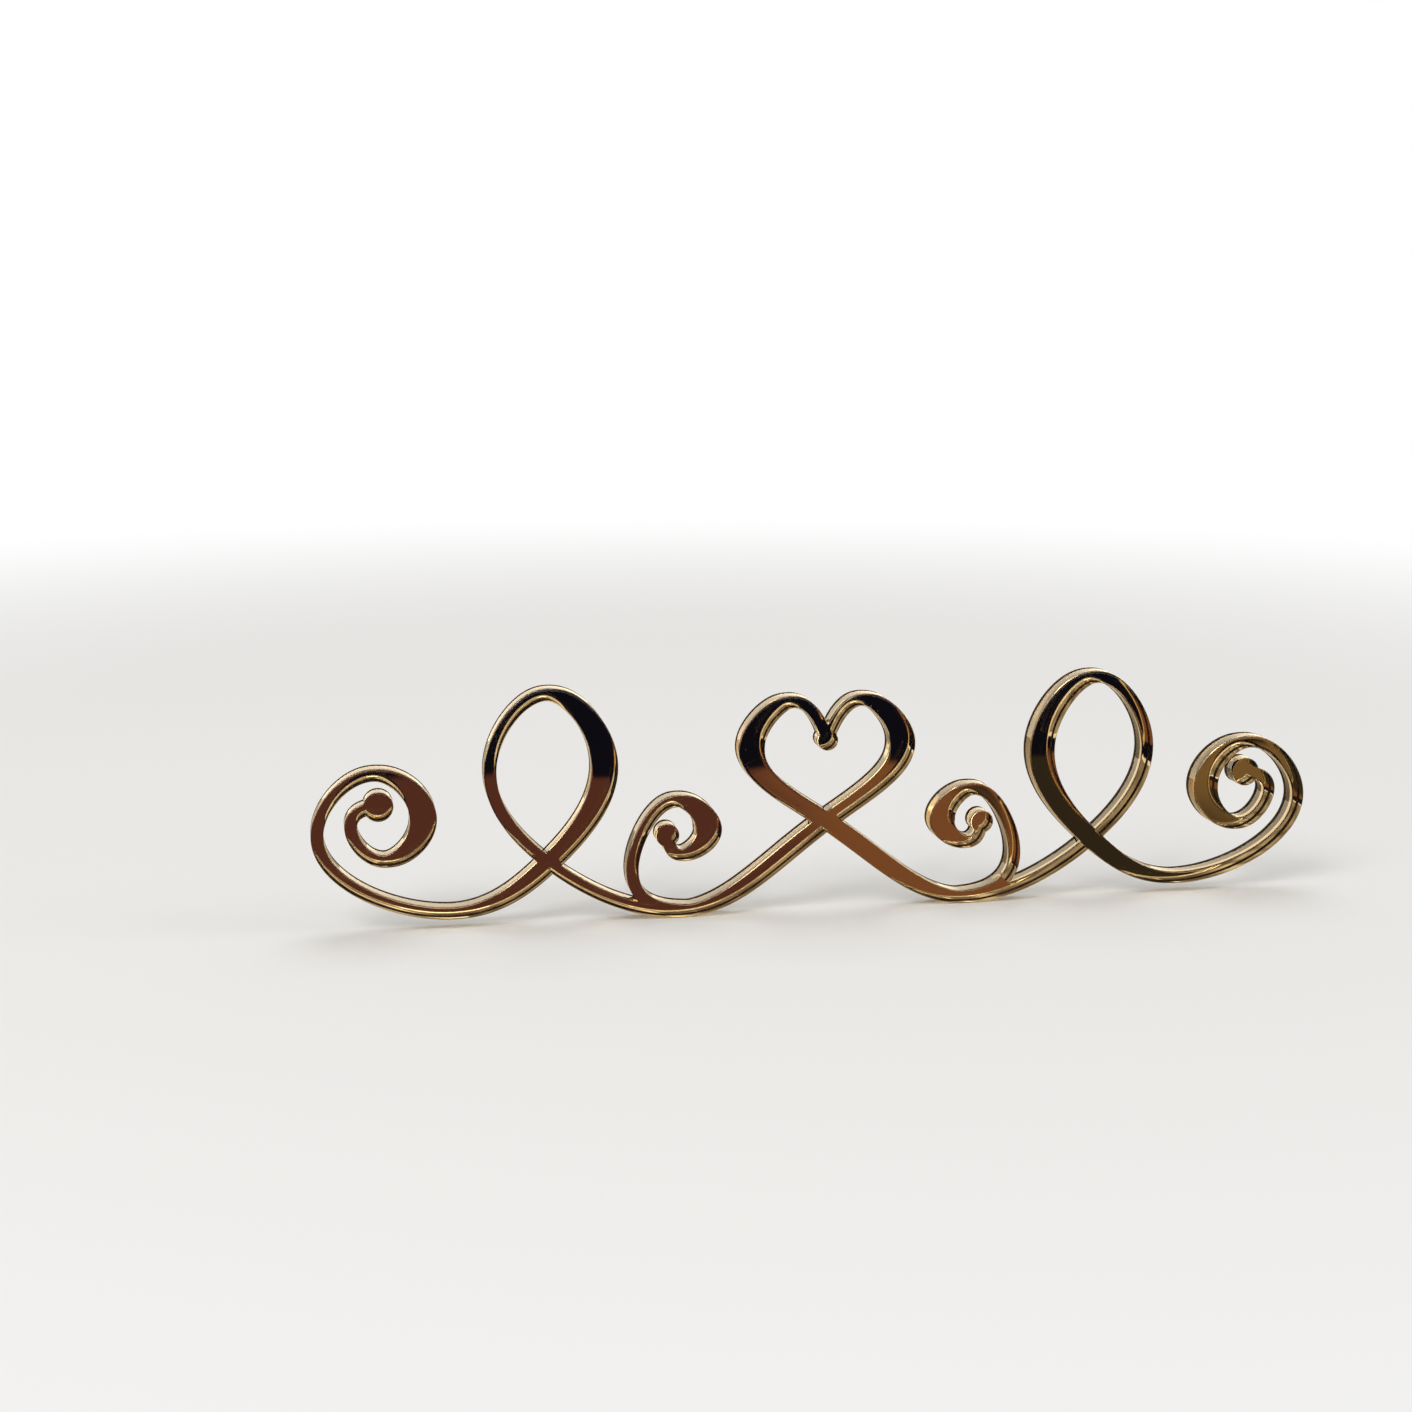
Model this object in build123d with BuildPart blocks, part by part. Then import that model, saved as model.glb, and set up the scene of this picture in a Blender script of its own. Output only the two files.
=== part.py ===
from build123d import *

import os
from math import cos, pi, radians, sin

# Topper of the flat kind that is pressed on from the front: a heart with looping pen strokes,
# cut in one piece from gold mirror acrylic sheet.
# +X runs along the length, +Z is up and the mirror faces -Y. The back of the sheet lies in the
# plane y = 0, and the origin is on it, where the strokes cross under the heart.

os.makedirs("parts", exist_ok=True)

# Layers of the sheet, from the back
coat_thickness = 0.1
film_thickness = 0.1
acrylic_thickness = 2.8

# Pen stroke: a hairline that swells where the pen presses on its way down
thin_stroke = 1.7
thick_stroke = 3.6
pressure_power = 1.5

# Heart, measured to the middle of its stroke
heart_half_width = 10.4
heart_side_height = 11.8
heart_peak_offset = 6.2
heart_peak_height = 16.6
cleft_height = 11.4
cleft_drop_diameter = 2.9

# First valley, between the point of the heart and the foot of the loop
valley_offset = 18.5
valley_depth = 11.6

# Tall loop
loop_offset = 38.4
loop_half_width = 7.4
loop_side_height = 11.2
loop_peak_height = 19.0
loop_crossing_depth = 4.2

# Second valley, and the curl at the end of the arm
end_valley_offset = 50.5
end_valley_depth = 10.4
curl_offset = 61.0
curl_height = 2.0
curl_first_radius = 8.0
curl_last_radius = 2.6
curl_quarter_turns = 5
curl_drop_diameter = 4.0

# Sprig: a small curl that springs from the first valley
sprig_offset = 20.3
sprig_height = -1.0
sprig_first_radius = 5.6
sprig_last_radius = 1.9
sprig_quarter_turns = 4
sprig_drop_diameter = 3.2


def curl(offset, height, first_radius, last_radius, quarter_turns):
    """Points a quarter turn apart on a spiral from its right side, which shrinks as it turns."""
    points = []
    for quarter in range(quarter_turns + 1):
        radius = first_radius + (last_radius - first_radius) * quarter / quarter_turns
        angle = radians(90 * quarter)
        points.append((offset + radius * cos(angle), height + radius * sin(angle)))
    return points


def stroke_side(line, at, side):
    """Point half a stroke off the line, square to it, on its left (1) or its right (-1).

    The stroke is thin, plus more of the difference to thick the steeper the line falls.
    """
    heading = line % at
    fall = max(0.0, -heading.Y)
    width = thin_stroke + (thick_stroke - thin_stroke) * fall**pressure_power
    return line @ at + Vector(-heading.Y, heading.X) * (side * width / 2)


def pen_stroke(line, spans, stations=9):
    """Add the stroke along a line to the open sketch, as short spans that meet end to end.

    The stations of a span are closer together towards its ends, where its sides run into the next.
    """
    steps = [(1 - cos(pi * station / (stations - 1))) / 2 for station in range(stations)]
    for span in range(spans):
        shares = [(span + step) / spans for step in steps]
        with BuildLine() as rim:
            left_side = Spline([stroke_side(line, at, 1) for at in shares])
            right_side = Spline([stroke_side(line, at, -1) for at in shares])
            Line(left_side @ 0, right_side @ 0)
            Line(left_side @ 1, right_side @ 1)
        make_face(rim.edges())


# Middle line of one arm: round the far lobe of the heart, through its point and out to the curl
arm_points = [
    (0, cleft_height),
    (-heart_peak_offset, heart_peak_height),
    (-heart_half_width, heart_side_height),
    (0, 0),
    (valley_offset, -valley_depth),
    (loop_offset, -loop_crossing_depth),
    (loop_offset + loop_half_width, loop_side_height),
    (loop_offset, loop_peak_height),
    (loop_offset - loop_half_width, loop_side_height),
    (loop_offset, -loop_crossing_depth),
    (end_valley_offset, -end_valley_depth),
    *curl(curl_offset, curl_height, curl_first_radius, curl_last_radius, curl_quarter_turns),
]
with BuildLine() as arm_line:
    Spline(arm_points)

# Middle line of the sprig, which leaves the arm at the bottom of the valley
sprig_points = [
    (valley_offset, -valley_depth),
    *curl(sprig_offset, sprig_height, sprig_first_radius, sprig_last_radius, sprig_quarter_turns),
]
with BuildLine() as sprig_line:
    Spline(sprig_points)

# Outline: one arm and its sprig, a round drop on each free end, and their mirror image
drops = [
    (arm_line.line @ 0, cleft_drop_diameter),
    (arm_line.line @ 1, curl_drop_diameter),
    (sprig_line.line @ 1, sprig_drop_diameter),
]
with BuildSketch() as outline:
    pen_stroke(arm_line.line.edge(), 2 * len(arm_points))
    pen_stroke(sprig_line.line.edge(), 2 * len(sprig_points))
    for center, diameter in drops:
        with Locations(center):
            Circle(diameter / 2)
    mirror(about=Plane.YZ)

# Lacquer that seals the back of the mirror
with BuildPart() as back_coat:
    with BuildSketch(Plane.XZ):
        add(outline.sketch)
    extrude(amount=coat_thickness)
back_coat.part.label = "back_coat"
export_step(back_coat.part, "parts/back_coat.step")

# Bright metal film that makes the mirror
with BuildPart() as mirror_film:
    with BuildSketch(Plane.XZ.offset(coat_thickness)):
        add(outline.sketch)
    extrude(amount=film_thickness)
mirror_film.part.label = "mirror_film"
export_step(mirror_film.part, "parts/mirror_film.step")

# Clear gold-tinted sheet that carries the film on its back
with BuildPart() as acrylic_front:
    with BuildSketch(Plane.XZ.offset(coat_thickness + film_thickness)):
        add(outline.sketch)
    extrude(amount=acrylic_thickness)
acrylic_front.part.label = "acrylic_front"
export_step(acrylic_front.part, "parts/acrylic_front.step")
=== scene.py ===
"""Gold mirror topper: a heart between pen loops and curls, cut in one piece from mirror acrylic sheet.

The sheet stands upright on a pale floor with its mirror towards -Y. Lengths are in metres.
"""

from math import atan, cos, pi, radians, sin

import bpy
import numpy as np
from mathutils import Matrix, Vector
from mathutils.geometry import delaunay_2d_cdt


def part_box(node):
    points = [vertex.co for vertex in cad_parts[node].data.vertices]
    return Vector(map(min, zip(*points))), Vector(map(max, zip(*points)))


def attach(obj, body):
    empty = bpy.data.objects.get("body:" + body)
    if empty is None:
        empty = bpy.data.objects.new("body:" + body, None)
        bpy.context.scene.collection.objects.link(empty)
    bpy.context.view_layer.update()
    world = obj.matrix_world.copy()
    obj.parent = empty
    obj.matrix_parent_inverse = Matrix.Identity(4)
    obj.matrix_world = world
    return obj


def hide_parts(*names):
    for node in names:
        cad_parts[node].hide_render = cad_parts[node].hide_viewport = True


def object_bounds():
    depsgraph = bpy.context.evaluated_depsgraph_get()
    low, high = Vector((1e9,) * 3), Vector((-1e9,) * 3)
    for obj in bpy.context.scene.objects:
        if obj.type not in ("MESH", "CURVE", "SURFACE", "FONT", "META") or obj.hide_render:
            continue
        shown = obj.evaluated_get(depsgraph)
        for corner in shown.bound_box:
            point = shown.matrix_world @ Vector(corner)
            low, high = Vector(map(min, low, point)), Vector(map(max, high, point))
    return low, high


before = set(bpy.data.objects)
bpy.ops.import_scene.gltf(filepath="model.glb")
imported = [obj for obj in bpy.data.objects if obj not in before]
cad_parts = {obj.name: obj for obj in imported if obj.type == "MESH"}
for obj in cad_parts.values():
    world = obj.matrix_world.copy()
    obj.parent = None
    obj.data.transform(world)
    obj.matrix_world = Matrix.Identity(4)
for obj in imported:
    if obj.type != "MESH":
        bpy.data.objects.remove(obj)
cad_low, cad_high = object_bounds()

# Acrylic sheet: the clear, gold-tinted cast sheet that the topper is cut from, with polished faces.
# A laser cuts it through in one pass, which melts its edges a little round and leaves fine upright
# lines on the cut. The mirror is on its back.
mm = 0.001
acrylic_low, acrylic_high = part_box("acrylic_front")
acrylic_margin = 0.45 * mm
acrylic_front_round = 0.18 * mm
acrylic_back_round = 0.05 * mm
cut_step = 0.35 * mm
sharp_corner = radians(40)


def cut_outline(node, weld=0.0001 * mm):
    """Closed loops of points round the front of a cut sheet, in order, with the sheet on their left.

    A side of a front triangle lies on the cut where no other front triangle runs back along it, and
    leads from one point of the cut to the next. A point's place in its loop is the number of steps
    left to the loop's last point, which is counted by jumps that double in length.
    """
    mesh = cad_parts[node].data
    mesh.calc_loop_triangles()
    points = np.empty(3 * len(mesh.vertices))
    corners = np.empty(3 * len(mesh.loop_triangles), dtype=np.int32)
    mesh.vertices.foreach_get("co", points)
    mesh.loop_triangles.foreach_get("vertices", corners)
    points = points.reshape(-1, 3)
    corners = corners.reshape(-1, 3)
    in_front = points[:, 1] < points[:, 1].min() + weld
    flat, merged = np.unique(np.round(points[:, [0, 2]] / weld), axis=0, return_inverse=True)
    corners = merged.reshape(-1)[corners[in_front[corners].all(axis=1)]]
    start = corners.reshape(-1)
    end = np.roll(corners, -1, axis=1).reshape(-1)
    on_cut = ~np.isin(start * len(flat) + end, end * len(flat) + start)
    start, end = start[on_cut], end[on_cut]
    order = np.argsort(start)
    start, end = start[order], end[order]
    following = np.searchsorted(start, end)
    doublings = range(len(start).bit_length())
    first = np.arange(len(start))
    jump = following
    for _ in doublings:
        first = np.minimum(first, first[jump])
        jump = jump[jump]
    last = following == first
    steps_left = np.where(last, 0, 1)
    jump = np.where(last, np.arange(len(start)), following)
    for _ in doublings:
        steps_left = steps_left + steps_left[jump]
        jump = jump[jump]
    loops = []
    for head in np.unique(first):
        members = np.flatnonzero(first == head)
        members = members[np.argsort(-steps_left[members])]
        loops.append(flat[start[members]] * weld)
    return loops


def follow_cut(loop):
    """Closer points along a closed loop, with the outward direction and the length run at each.

    Between two given points the line is a cubic. It leaves and arrives along the mean of the two
    chords that meet there, or along its own chord where the cut turns a sharp corner.
    """
    chord = np.roll(loop, -1, axis=0) - loop
    length = np.linalg.norm(chord, axis=1, keepdims=True)
    ahead = chord / length
    behind = np.roll(ahead, 1, axis=0)
    length_behind = np.roll(length, 1, axis=0)
    corner = np.sum(ahead * behind, axis=1, keepdims=True) < cos(sharp_corner)
    mean = ahead * length_behind + behind * length
    mean /= np.linalg.norm(mean, axis=1, keepdims=True)
    leaving = np.where(corner, ahead, mean)
    arriving = np.roll(np.where(corner, behind, mean), -1, axis=0)
    parts = np.ceil(length[:, 0] / cut_step).astype(int)
    chord_of = np.repeat(np.arange(len(loop)), parts)
    part = np.arange(len(chord_of)) - np.repeat(np.cumsum(parts) - parts, parts)
    t = (part / parts[chord_of])[:, None]
    points = (
        loop[chord_of] * (2 * t**3 - 3 * t**2 + 1)
        + np.roll(loop, -1, axis=0)[chord_of] * (3 * t**2 - 2 * t**3)
        + (leaving * length)[chord_of] * (t**3 - 2 * t**2 + t)
        + (arriving * length)[chord_of] * (t**3 - t**2)
    )
    heading = np.roll(points, -1, axis=0) - np.roll(points, 1, axis=0)
    heading /= np.linalg.norm(heading, axis=1, keepdims=True)
    outward = np.stack([heading[:, 1], -heading[:, 0]], axis=1)
    steps = np.linalg.norm(np.roll(points, -1, axis=0) - points, axis=1)
    run = np.concatenate([[0], np.cumsum(steps)])
    return points, outward, run


outline = [follow_cut(loop) for loop in cut_outline("acrylic_front")]


def cut_edge(front, back, front_round, back_round, margin, set_back=0.0, turns=5, wall_rows=5):
    """Profile of a cut edge from front to back, as insets from the cut and as y.

    It is a flat margin, a quarter round, a straight wall, a quarter round and a flat margin, and all
    of it stands back from the cut by the same length.
    """
    turn = np.linspace(0, pi / 2, turns)
    wall = np.linspace(front + front_round, back - back_round, wall_rows)[1:-1]
    inset = [[margin], front_round * (1 - np.sin(turn)), 0 * wall, back_round * (1 - np.cos(turn)), [margin]]
    front_turn = front + front_round * (1 - np.cos(turn))
    back_turn = back - back_round * (1 - np.sin(turn))
    y = [[front], front_turn, wall, back_turn, [back]]
    return set_back + np.concatenate(inset), np.concatenate(y)


def inside(points, start, end):
    """Whether a line from each point to the right crosses an odd number of the sides of the outline."""
    x, z = points.T[:, :, None]
    crossed = (start[:, 1] > z) != (end[:, 1] > z)
    drop = np.where(start[:, 1] == end[:, 1], 1, end[:, 1] - start[:, 1])
    crossing = start[:, 0] + (z - start[:, 1]) * (end[:, 0] - start[:, 0]) / drop
    return np.sum(crossed & (crossing > x), axis=1) % 2 == 1


def fill_ring(ring, following, weld=1e-6):
    """Triangles between the closed loops of a flat ring of points, as places in the ring.

    The points are joined by a Delaunay triangulation that keeps the sides of the loops, and the
    triangles whose middle lies inside the outline stay.
    """
    sides = np.stack([np.arange(len(ring)), following], axis=1)
    triangles, sources = delaunay_2d_cdt(ring.tolist(), sides.tolist(), [], 1, weld)[2:4]
    place = np.array([found[0] for found in sources])
    triangles = place[np.array(triangles)]
    return triangles[inside(ring[triangles].mean(axis=1), ring, ring[following])]


def cut_sheet(name, inset, y, second=()):
    """A closed sheet of the topper's outline: the edge profile carried along the cut, and two caps.

    A point of the edge is the point on the cut, moved inwards by the profile's inset, at the
    profile's y. The caps fill the first and the last ring with triangles. The corner attribute cut
    holds the length run along the cut, the length run down the profile and the inset. The steps of
    the profile named in second take the second material.
    """
    ring, outward = (np.concatenate([loop[k] for loop in outline]) for k in (0, 1))
    counts = np.array([len(loop[0]) for loop in outline])
    loop_start = np.repeat(np.cumsum(counts) - counts, counts)
    here = np.arange(len(ring))
    there = loop_start + (here - loop_start + 1) % np.repeat(counts, counts)
    run_here = np.concatenate([loop[2][:-1] for loop in outline])
    run_there = np.concatenate([loop[2][1:] for loop in outline])

    flat = ring[:, None] - outward[:, None] * inset[None, :, None]
    points = np.stack([flat[..., 0], np.broadcast_to(y, flat.shape[:2]), flat[..., 1]], axis=-1)
    rows = len(y)
    i, j = np.meshgrid(here, np.arange(rows - 1), indexing="ij")
    k = there[i]
    quads = np.stack([i * rows + j, i * rows + j + 1, k * rows + j + 1, k * rows + j], axis=-1)
    down = np.concatenate([[0], np.cumsum(np.hypot(np.diff(inset), np.diff(y)))])
    edge_cut = np.stack([
        np.stack([run_here[i], run_here[i], run_there[i], run_there[i]], axis=-1),
        np.stack([down[j], down[j + 1], down[j + 1], down[j]], axis=-1),
        np.stack([inset[j], inset[j + 1], inset[j + 1], inset[j]], axis=-1),
    ], axis=-1).reshape(-1, 3)
    front_cap = fill_ring(flat[:, 0] / mm, there) * rows
    back_cap = fill_ring(flat[:, -1] / mm, there)[:, ::-1] * rows + rows - 1

    mesh = bpy.data.meshes.new(name)
    mesh.from_pydata(points.reshape(-1, 3).tolist(), [], [
        face for faces in (quads.reshape(-1, 4), front_cap, back_cap) for face in faces.tolist()
    ])
    cut = np.zeros((len(mesh.loops), 3))
    cut[:, 2] = max(inset)
    cut[: len(edge_cut)] = edge_cut
    mesh.attributes.new("cut", "FLOAT_VECTOR", "CORNER").data.foreach_set("vector", cut.ravel())
    material = np.zeros(len(mesh.polygons), dtype=np.int32)
    material[: j.size] = np.isin(j, second).ravel()
    mesh.polygons.foreach_set("material_index", material)
    mesh.shade_smooth()
    mesh.set_sharp_from_angle(angle=sharp_corner)
    piece = bpy.data.objects.new(name, mesh)
    bpy.context.scene.collection.objects.link(piece)
    return piece


def add(tree, kind, inputs=None, **settings):
    """A new node with its settings, and with each input set to a value or joined to an output."""
    made = tree.nodes.new(kind)
    for name, value in settings.items():
        setattr(made, name, value)
    for socket, value in (inputs or {}).items():
        if isinstance(value, bpy.types.NodeSocket):
            tree.links.new(value, made.inputs[socket])
        else:
            made.inputs[socket].default_value = value
    return made


def calc(tree, operation, first, second=0.0, third=0.0):
    """The output of a math node."""
    return add(tree, "ShaderNodeMath", {0: first, 1: second, 2: third}, operation=operation).outputs[0]


def times(tree, value, factor, base=0.0):
    """A value times a factor, on top of a base."""
    return calc(tree, "MULTIPLY_ADD", value, factor, base)


def between(tree, value, low, high):
    """How far a value is from low to high, carried smoothly from 0 to 1 and held at its ends."""
    inputs = {"Value": value, "From Min": low, "From Max": high}
    return add(tree, "ShaderNodeMapRange", inputs, interpolation_type="SMOOTHSTEP").outputs[0]


def noise(tree, vector, detail=2.0, roughness=0.5):
    """Soft noise, about one unit of the vector from crest to crest."""
    inputs = {"Vector": vector, "Scale": 1.0, "Detail": detail, "Roughness": roughness}
    return add(tree, "ShaderNodeTexNoise", inputs).outputs[0]


def mix_colors(tree, share, first, second):
    """The output of a colour mix."""
    inputs = {"Factor": share, 6: first, 7: second}
    return add(tree, "ShaderNodeMix", inputs, data_type="RGBA").outputs[2]


def in_units(tree, vector, unit):
    """A vector counted in lengths of unit along x, y and z."""
    return add(tree, "ShaderNodeVectorMath", {0: vector, 1: unit}, operation="DIVIDE").outputs[0]


def place_in(tree, unit, turn=(0, 0, 0)):
    """Object coordinates, turned, and counted in lengths of unit along x, y and z or along all three."""
    place = add(tree, "ShaderNodeTexCoord").outputs["Object"]
    turned = add(tree, "ShaderNodeMapping", {"Vector": place, "Rotation": turn}).outputs[0]
    return in_units(tree, turned, unit if isinstance(unit, tuple) else (unit, unit, unit))


def cut_place(tree):
    """The attribute cut: the length run along the cut, the length run down the profile and the inset."""
    return add(tree, "ShaderNodeAttribute", attribute_name="cut").outputs["Vector"]


def cut_inset(tree):
    """The inset from the cut."""
    return add(tree, "ShaderNodeSeparateXYZ", {0: cut_place(tree)}).outputs["Z"]


def emboss(tree, shader, height, unit=mm):
    """Raise a shader's surface by a height that is counted in lengths of unit."""
    bump = add(tree, "ShaderNodeBump", {"Height": height, "Distance": unit, "Strength": 1.0})
    tree.links.new(bump.outputs[0], shader.inputs["Normal"])


def handling_marks():
    """Group of the marks that handling leaves on a polished face, as masks from 0 to 1.

    Smudges are soft noise above a level, which Reach lowers. Scratches are the crests of noise that is
    drawn out long and thin in two directions. Specks are small discs in some cells of a scatter of points.
    """
    smudge_size = (11 * mm, 11 * mm, 7 * mm)
    smudge_level = 0.72
    smudge_drop = 0.3
    smudge_edge = 0.2
    scratch_width = 0.25 * mm
    scratch_runs = ((radians(25), 16 * mm), (radians(-48), 11 * mm))
    scratch_from = 0.70
    scratch_to = 0.78
    speck_spacing = 2.4 * mm
    speck_rim = 0.05
    speck_core = 0.03
    speck_share = 0.5
    group = bpy.data.node_groups.new("handling_marks", "ShaderNodeTree")
    group.interface.new_socket("Reach", in_out="INPUT", socket_type="NodeSocketFloat")
    for name in ("Smudges", "Scratches", "Specks"):
        group.interface.new_socket(name, in_out="OUTPUT", socket_type="NodeSocketFloat")
    reach = group.nodes.new("NodeGroupInput").outputs["Reach"]

    cloud = noise(group, place_in(group, smudge_size), detail=5.0, roughness=0.62)
    level = times(group, reach, -smudge_drop, smudge_level)
    smudges = between(group, calc(group, "SUBTRACT", cloud, level), 0.0, smudge_edge)

    lines = []
    for angle, length in scratch_runs:
        drawn = noise(group, place_in(group, (length, 1, scratch_width), (0, angle, 0)))
        lines.append(between(group, drawn, scratch_from, scratch_to))
    scratches = calc(group, "MAXIMUM", *lines)

    scatter = {"Vector": place_in(group, speck_spacing), "Scale": 1.0}
    cells = add(group, "ShaderNodeTexVoronoi", scatter).outputs
    disc = between(group, cells["Distance"], speck_rim, speck_core)
    specks = times(group, disc, calc(group, "GREATER_THAN", cells["Color"], speck_share))

    add(group, "NodeGroupOutput", {"Smudges": smudges, "Scratches": scratches, "Specks": specks})
    return group


marks = handling_marks()


def handled(tree, reach):
    """The masks of the handling marks, with wider smudges the higher the reach."""
    return add(tree, "ShaderNodeGroup", {"Reach": reach}, node_tree=marks).outputs


def new_finish(name, **constants):
    """A material, its node tree and its Principled shader, which takes the plain values given."""
    material = bpy.data.materials.new(name)
    material.use_nodes = True
    tree = material.node_tree
    shader = tree.nodes["Principled BSDF"]
    for socket, value in constants.items():
        shader.inputs[socket.replace("_", " ").title().replace("Ior", "IOR")].default_value = value
    return material, tree, shader


def gold_tinted_acrylic():
    """Clear acrylic whose gold deepens along the way that light takes through it.

    Smudges and specks blur the polished faces a little. The cut is less smooth, with upright lines: noise
    that is short along the cut and long across it. Heat has browned the cut a trace. Heights are in mm.
    """
    clear = (1.0, 0.97, 0.90, 1)
    heated = (1.0, 0.93, 0.78, 1)
    gold = (0.90, 0.70, 0.30, 1)
    gold_density = 150.0
    wall_depth = 0.08 * mm
    line_size = (0.22 * mm, 2.5 * mm, 1)
    line_height = 0.003
    scratch_height = -0.0015
    polish = 0.01
    smudge_blur = 0.018
    speck_blur = 0.4
    line_blur = 0.05
    material, tree, shader = new_finish("gold_tinted_acrylic", transmission_weight=1.0, ior=1.49)
    marked = handled(tree, 0.45)
    wall = between(tree, cut_inset(tree), wall_depth, 0.0)
    lines = noise(tree, in_units(tree, cut_place(tree), line_size), detail=3.0)

    tree.links.new(mix_colors(tree, wall, clear, heated), shader.inputs["Base Color"])
    face_blur = times(tree, marked["Smudges"], smudge_blur, polish)
    face_blur = times(tree, marked["Specks"], speck_blur, face_blur)
    wall_blur = times(tree, lines, line_blur, polish)
    blur = add(tree, "ShaderNodeMix", {"Factor": wall, 2: face_blur, 3: wall_blur}).outputs[0]
    tree.links.new(blur, shader.inputs["Roughness"])
    cut_height = times(tree, times(tree, lines, wall), line_height)
    emboss(tree, shader, times(tree, marked["Scratches"], scratch_height, cut_height))
    tint = add(tree, "ShaderNodeVolumeAbsorption", {"Color": gold, "Density": gold_density})
    tree.links.new(tint.outputs[0], tree.nodes["Material Output"].inputs["Volume"])
    return material


acrylic_sheet = cut_sheet("acrylic_sheet", *cut_edge(
    acrylic_low.y, acrylic_high.y, acrylic_front_round, acrylic_back_round, acrylic_margin,
))
acrylic_sheet.data.materials.append(gold_tinted_acrylic())
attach(acrylic_sheet, "root")
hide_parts("acrylic_front")


# Mirror film: bright metal that is laid on the back of the sheet in a vacuum, far thinner than a hair.
# The cut leaves its rim a little behind the acrylic, and its front face is bedded into the sheet.
film_low, film_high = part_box("mirror_film")
film_bedding = 0.05 * mm
film_round = 0.03 * mm
film_margin = 0.12 * mm
film_set_back = 0.10 * mm


def mirror_metal():
    """Gold-toned metal with a very slow wave, as a mirror on plastic has, and a few pinholes."""
    bright = (0.95, 0.87, 0.70, 1)
    deep = (0.92, 0.82, 0.62, 1)
    pinhole = (0.35, 0.28, 0.18, 1)
    tone_size = 9 * mm
    wave_size = 13 * mm
    wave_height = 0.02 * mm
    polish = 0.008
    smudge_blur = 0.012
    material, tree, shader = new_finish("mirror_metal", metallic=1.0)
    marked = handled(tree, 0.3)
    tone = mix_colors(tree, noise(tree, place_in(tree, tone_size)), bright, deep)
    tree.links.new(mix_colors(tree, marked["Specks"], tone, pinhole), shader.inputs["Base Color"])
    tree.links.new(times(tree, marked["Smudges"], smudge_blur, polish), shader.inputs["Roughness"])
    emboss(tree, shader, noise(tree, place_in(tree, wave_size), detail=1.0), wave_height)
    return material


mirror_layer = cut_sheet("mirror_layer", *cut_edge(
    film_low.y - film_bedding, film_high.y + film_round, film_round, film_round, film_margin, film_set_back,
    turns=2, wall_rows=3,
))
mirror_layer.data.materials.append(mirror_metal())
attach(mirror_layer, "root")
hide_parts("mirror_film")


# Back lacquer: the grey paint that is sprayed over the metal to keep it from scratches and damp.
# It dries with a fine pebbled skin. The heat of the cut has browned it along the rim and drawn a thin
# scorched lip of it forwards onto the edge of the acrylic. The lip's near-black is partly real scorch and
# partly painted shade: the dark outline that a contact shadow draws round the edges.
coat_low, coat_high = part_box("back_coat")
coat_round = 0.04 * mm
coat_margin = 0.5 * mm
lip_reach = 0.75 * mm
lip_depth = 0.012 * mm
lip_height = 0.004 * mm
lip_steps = (1, 2, 3, 4)


def grey_lacquer():
    """Satin grey paint with a fine grain, rubbed paler in scratches and browned towards the cut.

    The grey pales where fine grain and a slow cloud add up. Heights are in mm.
    """
    grey = (0.235, 0.225, 0.21, 1)
    pale = (0.30, 0.29, 0.275, 1)
    rubbed = (0.42, 0.41, 0.39, 1)
    browned = (0.15, 0.11, 0.075, 1)
    grain_size = 0.35 * mm
    grain_height = 0.012
    cloud_size = 6 * mm
    pale_from = 0.75
    pale_to = 1.25
    browned_width = 0.5 * mm
    browned_from = 0.3
    browned_to = 0.6
    scratch_share = 0.5
    scratch_height = -0.004
    satin = 0.5
    smudge_blur = -0.12
    material, tree, shader = new_finish("grey_lacquer", specular_ior_level=0.2)
    marked = handled(tree, 0.6)
    grain = noise(tree, place_in(tree, grain_size), detail=3.0)
    cloud = noise(tree, place_in(tree, cloud_size), detail=4.0)
    tone = mix_colors(tree, between(tree, calc(tree, "ADD", grain, cloud), pale_from, pale_to), grey, pale)
    tone = mix_colors(tree, times(tree, marked["Scratches"], scratch_share), tone, rubbed)
    tone = mix_colors(tree, marked["Specks"], tone, rubbed)
    near_cut = between(tree, cut_inset(tree), browned_width, 0.0)
    heat = times(tree, near_cut, between(tree, cloud, browned_from, browned_to))
    tree.links.new(mix_colors(tree, heat, tone, browned), shader.inputs["Base Color"])
    tree.links.new(times(tree, marked["Smudges"], smudge_blur, satin), shader.inputs["Roughness"])
    emboss(tree, shader, times(tree, marked["Scratches"], scratch_height, times(tree, grain, grain_height)))
    return material


def scorch_and_painted_shade():
    """Burnt lacquer, dull and dark brown, with paler places along the cut: partly real scorch and partly
    painted shade, darkened to draw the edges' dark outline as a contact shadow would.
    """
    soot_and_painted_shade = (0.036, 0.023, 0.013, 1)
    burnt = (0.085, 0.053, 0.026, 1)
    patch_size = 0.9 * mm
    burnt_from = 0.3
    burnt_to = 0.7
    material, tree, shader = new_finish("scorch_and_painted_shade", roughness=1.0, specular_ior_level=0.0)
    patches = between(tree, noise(tree, place_in(tree, patch_size)), burnt_from, burnt_to)
    tree.links.new(mix_colors(tree, patches, soot_and_painted_shade, burnt), shader.inputs["Base Color"])
    return material


def lipped_edge():
    """Profile of the lacquer's edge, as insets from the cut and as y.

    From the film it runs out to just inside the cut, forwards as the inner side of the lip, back as
    its outer side, and round onto the back.
    """
    turn = np.linspace(0, pi / 2, 4)
    lip_y = coat_low.y - lip_reach
    round_inset = coat_round * (1 - np.cos(turn)) - lip_height
    round_y = coat_high.y - coat_round * (1 - np.sin(turn))
    inset = [[coat_margin, lip_depth, lip_depth, -lip_height], round_inset, [coat_margin]]
    y = [[coat_low.y, coat_low.y, lip_y, lip_y], round_y, [coat_high.y]]
    return np.concatenate(inset), np.concatenate(y)


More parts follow.
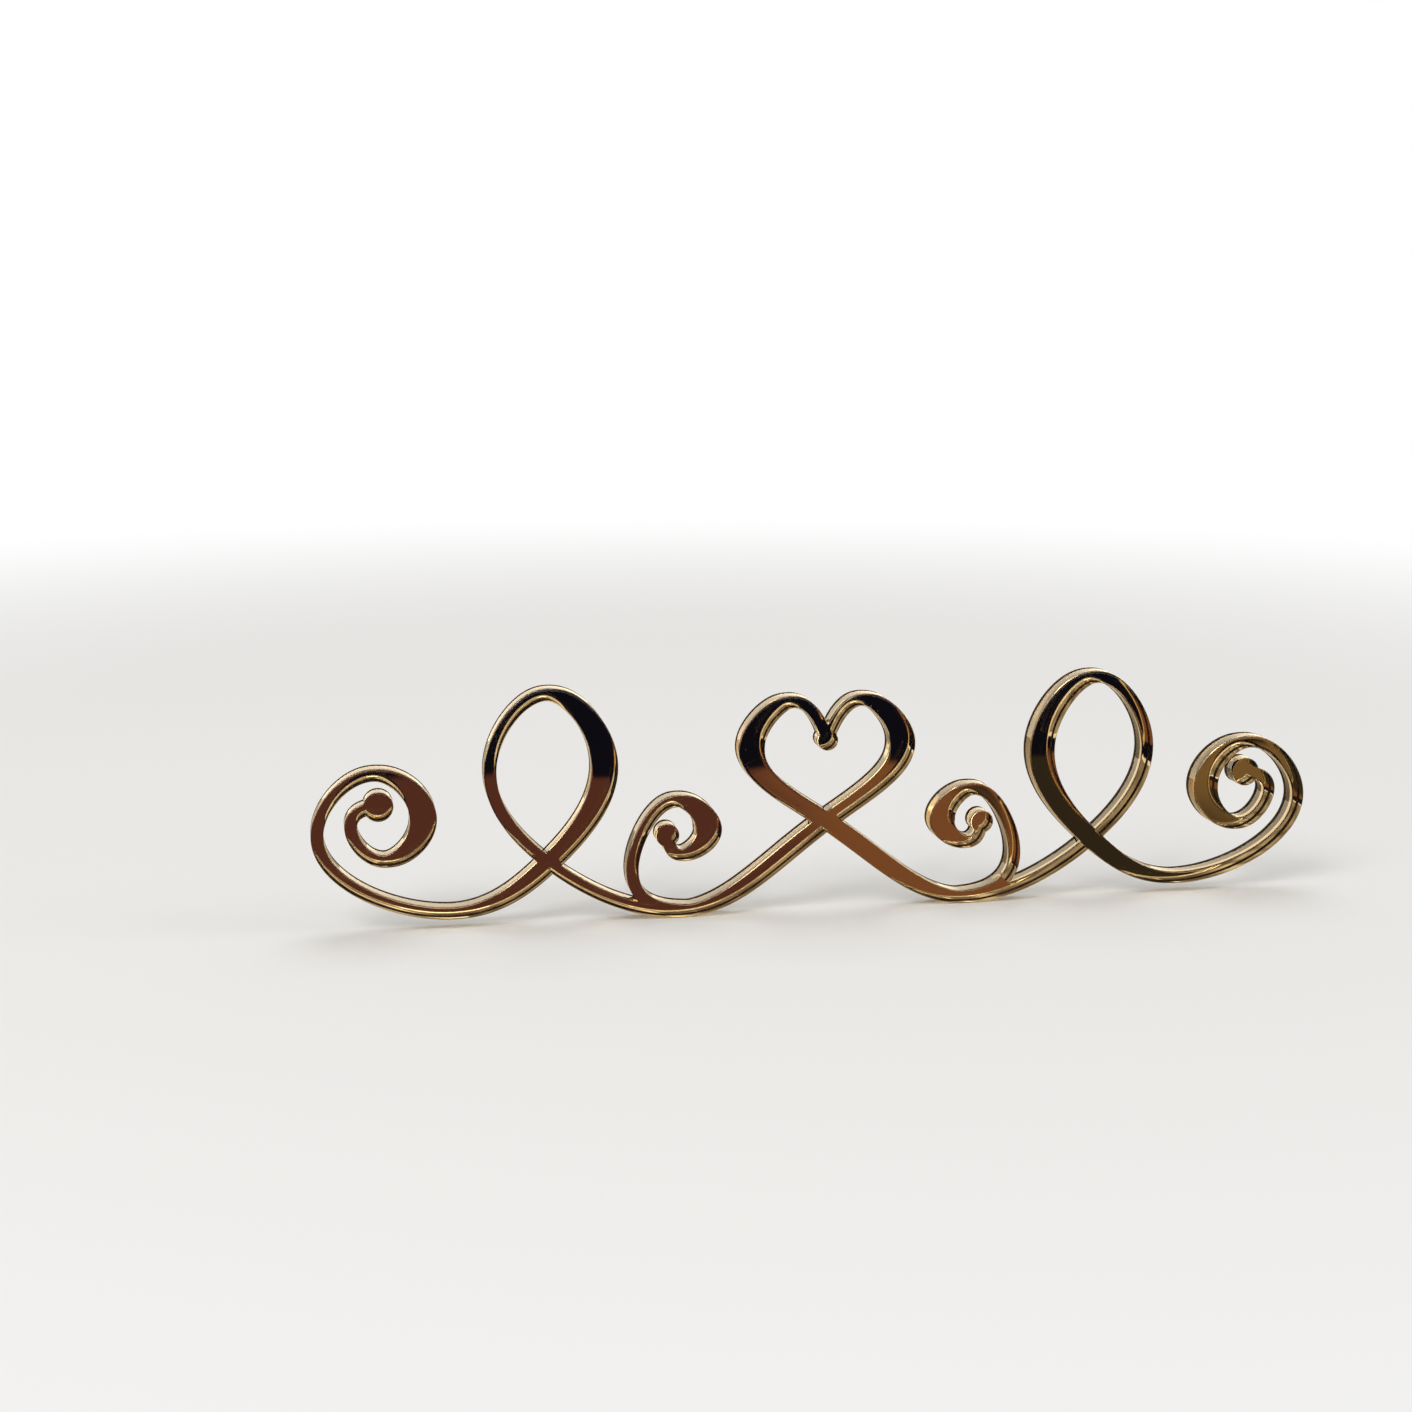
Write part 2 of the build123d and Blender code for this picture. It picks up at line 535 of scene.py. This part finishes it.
back_lacquer = cut_sheet("back_lacquer", *lipped_edge(), second=lip_steps)
back_lacquer.data.materials.append(grey_lacquer())
# Second material: the lip's scorch and painted shade.
back_lacquer.data.materials.append(scorch_and_painted_shade())
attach(back_lacquer, "root")
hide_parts("back_coat")


# Floor: a plain pale table top a hair below the topper's two lowest bends.
# It fades into the white room with its distance from a point behind the topper.
floor_gap = 0.05 * mm
floor_z = cad_low.z - floor_gap
floor_reach = 6.0
pool_middle = (0, 0.10, floor_z)
pool_from = 0.12
pool_to = 0.45
white = (1, 1, 1, 1)


def level_corners(left, right, front, back, z):
    """The corners of a level rectangle, facing up."""
    return [(left, front, z), (right, front, z), (right, back, z), (left, back, z)]


def stage_card(name, corners, material):
    """A rectangle of the stage between four corners, which isn't part of the topper."""
    mesh = bpy.data.meshes.new(name)
    mesh.from_pydata(corners, [], [(0, 1, 2, 3)])
    mesh.materials.append(material)
    card = bpy.data.objects.new(name, mesh)
    bpy.context.scene.collection.objects.link(card)
    return card


def seen_rays(tree):
    """1 for rays from the camera, and for those that a mirror or a clear piece sends on."""
    path = add(tree, "ShaderNodeLightPath").outputs
    mirrored = calc(tree, "MAXIMUM", path["Is Glossy Ray"], path["Is Transmission Ray"])
    return calc(tree, "MAXIMUM", path["Is Camera Ray"], mirrored)


def pale_table():
    """Pale matt white that gives way to plain white with its distance from the pool's middle."""
    pale = (0.86, 0.85, 0.83, 1)
    material, tree, shader = new_finish("pale_table", base_color=pale, specular_ior_level=0.0)
    place = add(tree, "ShaderNodeTexCoord").outputs["Object"]
    away = add(tree, "ShaderNodeVectorMath", {0: place, 1: pool_middle}, operation="DISTANCE")
    share = times(tree, between(tree, away.outputs["Value"], pool_from, pool_to), seen_rays(tree))
    glow = add(tree, "ShaderNodeEmission", {"Color": white, "Strength": 1.0})
    mixed = add(tree, "ShaderNodeMixShader", {0: share, 1: shader.outputs[0], 2: glow.outputs[0]})
    tree.links.new(mixed.outputs[0], tree.nodes["Material Output"].inputs["Surface"])
    return material


floor_corners = level_corners(-floor_reach, floor_reach, -floor_reach, floor_reach, floor_z)
stage_card("floor", floor_corners, pale_table())


# Dark card: what the mirror faces, a glowing card on the table in front of the topper that paints the mirror
# faces' reflection.
# From the left it glows brown, warmer, shaded and olive, and its far end is black. Only mirrors and clear
# pieces see it, and it is no lamp.
card_front = -0.26
card_left = -0.13
card_right = 0.22
card_z = floor_z + 0.02 * mm


def mirror_card(name, corners, material):
    """A card of the stage for mirrors and clear pieces alone: no camera, no light and no shadow."""
    card = stage_card(name, corners, material)
    card.visible_camera = False
    card.visible_diffuse = False
    card.visible_shadow = False


def new_glow(name, strength=1.0):
    """A material that only glows and that no lamp light is taken from, its tree and its colour input."""
    material, tree, shader = new_finish(name)
    tree.nodes.remove(shader)
    glow = add(tree, "ShaderNodeEmission", {"Strength": strength})
    tree.links.new(glow.outputs[0], tree.nodes["Material Output"].inputs["Surface"])
    material.cycles.emission_sampling = "NONE"
    return material, tree, glow.inputs["Color"]


def coordinate(tree, axis):
    """The Object coordinate along one axis."""
    place = add(tree, "ShaderNodeTexCoord").outputs["Object"]
    return add(tree, "ShaderNodeSeparateXYZ", {0: place}).outputs[axis]


def painted_face_reflection():
    """Painted reflection for the mirror faces: colours that follow each other along x, and black beyond a
    line across y, with borders that wander.

    A border is given by where it starts, where it ends and the colour after it.
    """
    brown = (0.092, 0.037, 0.036, 1)
    warm = (0.20, 0.092, 0.052, 1)
    shaded = (0.030, 0.026, 0.022, 1)
    olive = (0.19, 0.130, 0.062, 1)
    black = (0.0045, 0.0055, 0.016, 1)
    borders = ((0.010, 0.024, warm), (0.042, 0.056, shaded), (0.074, 0.096, olive))
    black_from = -0.074
    black_to = -0.080
    cloud_size = 45 * mm
    wander_along = 0.02
    wander_across = 0.03
    material, tree, color = new_glow("painted_face_reflection")
    cloud = noise(tree, place_in(tree, cloud_size))
    along = times(tree, cloud, wander_along, coordinate(tree, "X"))
    across = times(tree, cloud, wander_across, coordinate(tree, "Y"))
    tone = brown
    for start, end, after in borders:
        tone = mix_colors(tree, between(tree, along, start, end), tone, after)
    tree.links.new(mix_colors(tree, between(tree, across, black_from, black_to), tone, black), color)
    return material


mirror_card("dark_card", level_corners(card_left, card_right, card_front, cad_high.y, card_z), painted_face_reflection())


# Room wall: what the lower edges mirror, a glowing wall behind the camera that paints their reflections, with
# pale and dark stretches, painted dimmer on both sides of a brighter middle. Only mirrors and clear pieces
# see it, and it is no lamp.
wall_y = -0.62
wall_side = 0.6
wall_top = 1.2
wall_dark_from = 0.30
wall_dark_to = 0.50
wall_painted_bright_middle = 0.09
wall_dim_from = 0.06
wall_dim_to = 0.16
strip_z = 0.143
strip_half_height = 0.014
strip_left = -0.04


def painted_reflection_wall():
    """Painted reflection: a warm pale glow, dim aside and painted dark above, with dark stretches: tall noise
    between two levels.

    A strip brighter than white runs level across its right side; it is no lamp and lights nothing, and the
    lowest bends mirror it as painted glints.
    """
    # A glow brighter than white, no lamp: the lowest bends mirror it as painted glints.
    lamp_and_painted_glint = (1.5, 1.42, 1.25, 1)
    pale = (0.80, 0.76, 0.70, 1)
    dim = (0.42, 0.38, 0.33, 1)
    dark = (0.16, 0.13, 0.11, 1)
    stretch_size = (0.09, 1, 0.16)
    stretch_from = 0.38
    stretch_to = 0.62
    material, tree, color = new_glow("painted_reflection_wall")
    x = coordinate(tree, "X")
    z = coordinate(tree, "Z")
    # Painted dimming: the glow is dimmer on both sides of a brighter middle.
    off_middle = calc(tree, "ABSOLUTE", calc(tree, "SUBTRACT", x, wall_painted_bright_middle))
    tone = mix_colors(tree, between(tree, off_middle, wall_dim_from, wall_dim_to), pale, dim)
    stretches = noise(tree, place_in(tree, stretch_size), detail=1.0)
    tone = mix_colors(tree, between(tree, stretches, stretch_from, stretch_to), dark, tone)
    tone = mix_colors(tree, between(tree, z, wall_dark_from, wall_dark_to), tone, dark)
    off_strip = calc(tree, "ABSOLUTE", calc(tree, "SUBTRACT", z, strip_z))
    strip = between(tree, off_strip, strip_half_height, strip_half_height / 2)
    strip = times(tree, strip, calc(tree, "GREATER_THAN", x, strip_left))
    tree.links.new(mix_colors(tree, strip, tone, lamp_and_painted_glint), color)
    return material


def upright_corners(side, y, top):
    """The corners of a rectangle that stands on the floor across the y axis, facing +Y."""
    return [(-side, y, floor_z), (-side, y, top), (side, y, top), (side, y, floor_z)]


mirror_card("painted_reflection_wall", upright_corners(wall_side, wall_y, wall_top), painted_reflection_wall())


# Golden card and bright screen: what the upper edges show, glowing cards that paint their reflections: a warm
# card behind the topper, painted as a shaded cream backing, and a screen at its far end that glows brighter
# than white. Only mirrors and clear pieces see them, and they are no lamps.
screen_y = 0.25
screen_side = 0.35
screen_top = 0.30
screen_cream = (1.0, 0.84, 0.60, 1)
screen_strength = 2.6
card_gold = (0.85, 0.68, 0.42, 1)


def plain_glow(name, color, strength=1.0):
    """A glow of one colour."""
    material, _, tone = new_glow(name, strength)
    tone.default_value = color
    return material


# Painted reflections for the upper edges: a warm glow for a shaded backing and a brighter screen.
mirror_card(
    "golden_card", level_corners(-screen_side, screen_side, cad_high.y, screen_y, card_z),
    plain_glow("golden_glow", card_gold),
)
mirror_card(
    "bright_screen", upright_corners(screen_side, screen_y, screen_top),
    plain_glow("bright_glow", screen_cream, screen_strength),
)


# Light: a white room, a large soft lamp over the left shoulder, a weaker one to the right and one above.
# The room lights the topper less than it shows.
room_light = 0.45
room = bpy.data.worlds.new("white_room")
bpy.context.scene.world = room
room.use_nodes = True
room_tree = room.node_tree
room_glow = room_tree.nodes["Background"].inputs
room_glow["Color"].default_value = white
room_tree.links.new(times(room_tree, seen_rays(room_tree), 1 - room_light, room_light), room_glow["Strength"])


def soft_lamp(name, place, side, power):
    """A square area lamp that looks at the topper's middle."""
    lamp_and_painted_glint = bpy.data.lights.new(name, "AREA")
    lamp_and_painted_glint.size = side
    lamp_and_painted_glint.energy = power
    held = bpy.data.objects.new(name, lamp_and_painted_glint)
    held.location = place
    held.rotation_euler = (-Vector(place)).to_track_quat("-Z", "Y").to_euler()
    bpy.context.scene.collection.objects.link(held)


soft_lamp("left_lamp", place=(-0.55, -0.55, 0.75), side=0.5, power=4.0)
soft_lamp("right_lamp", place=(0.8, -0.25, 0.5), side=0.4, power=1.2)
soft_lamp("top_lamp", place=(0.05, 0.35, 0.9), side=0.6, power=2.5)


# Camera: to the left of the topper and a little above it, as in the photograph.
# The topper's middle falls right of and below the middle of the frame.
photo_side = 1412
photo_focal = 2200
topper_pixel = (828, 793)
view_azimuth = radians(-13.5)
view_elevation = radians(13)
view_distance = 0.304
sensor_side = 36
nearest_seen = 0.01

middle = (cad_low + cad_high) / 2
towards_camera = Vector((
    sin(view_azimuth) * cos(view_elevation), -cos(view_azimuth) * cos(view_elevation), sin(view_elevation),
))
right_of_middle, below_middle = (atan((pixel - photo_side / 2) / photo_focal) for pixel in topper_pixel)
lens = bpy.data.cameras.new("camera")
lens.sensor_width = sensor_side
lens.lens = sensor_side * photo_focal / photo_side
lens.clip_start = nearest_seen
camera = bpy.data.objects.new("camera", lens)
camera.location = middle + towards_camera * view_distance
camera.rotation_euler = (pi / 2 - view_elevation + below_middle, 0, view_azimuth + right_of_middle)
bpy.context.scene.collection.objects.link(camera)
bpy.context.scene.camera = camera
bpy.context.scene.view_settings.view_transform = "Standard"
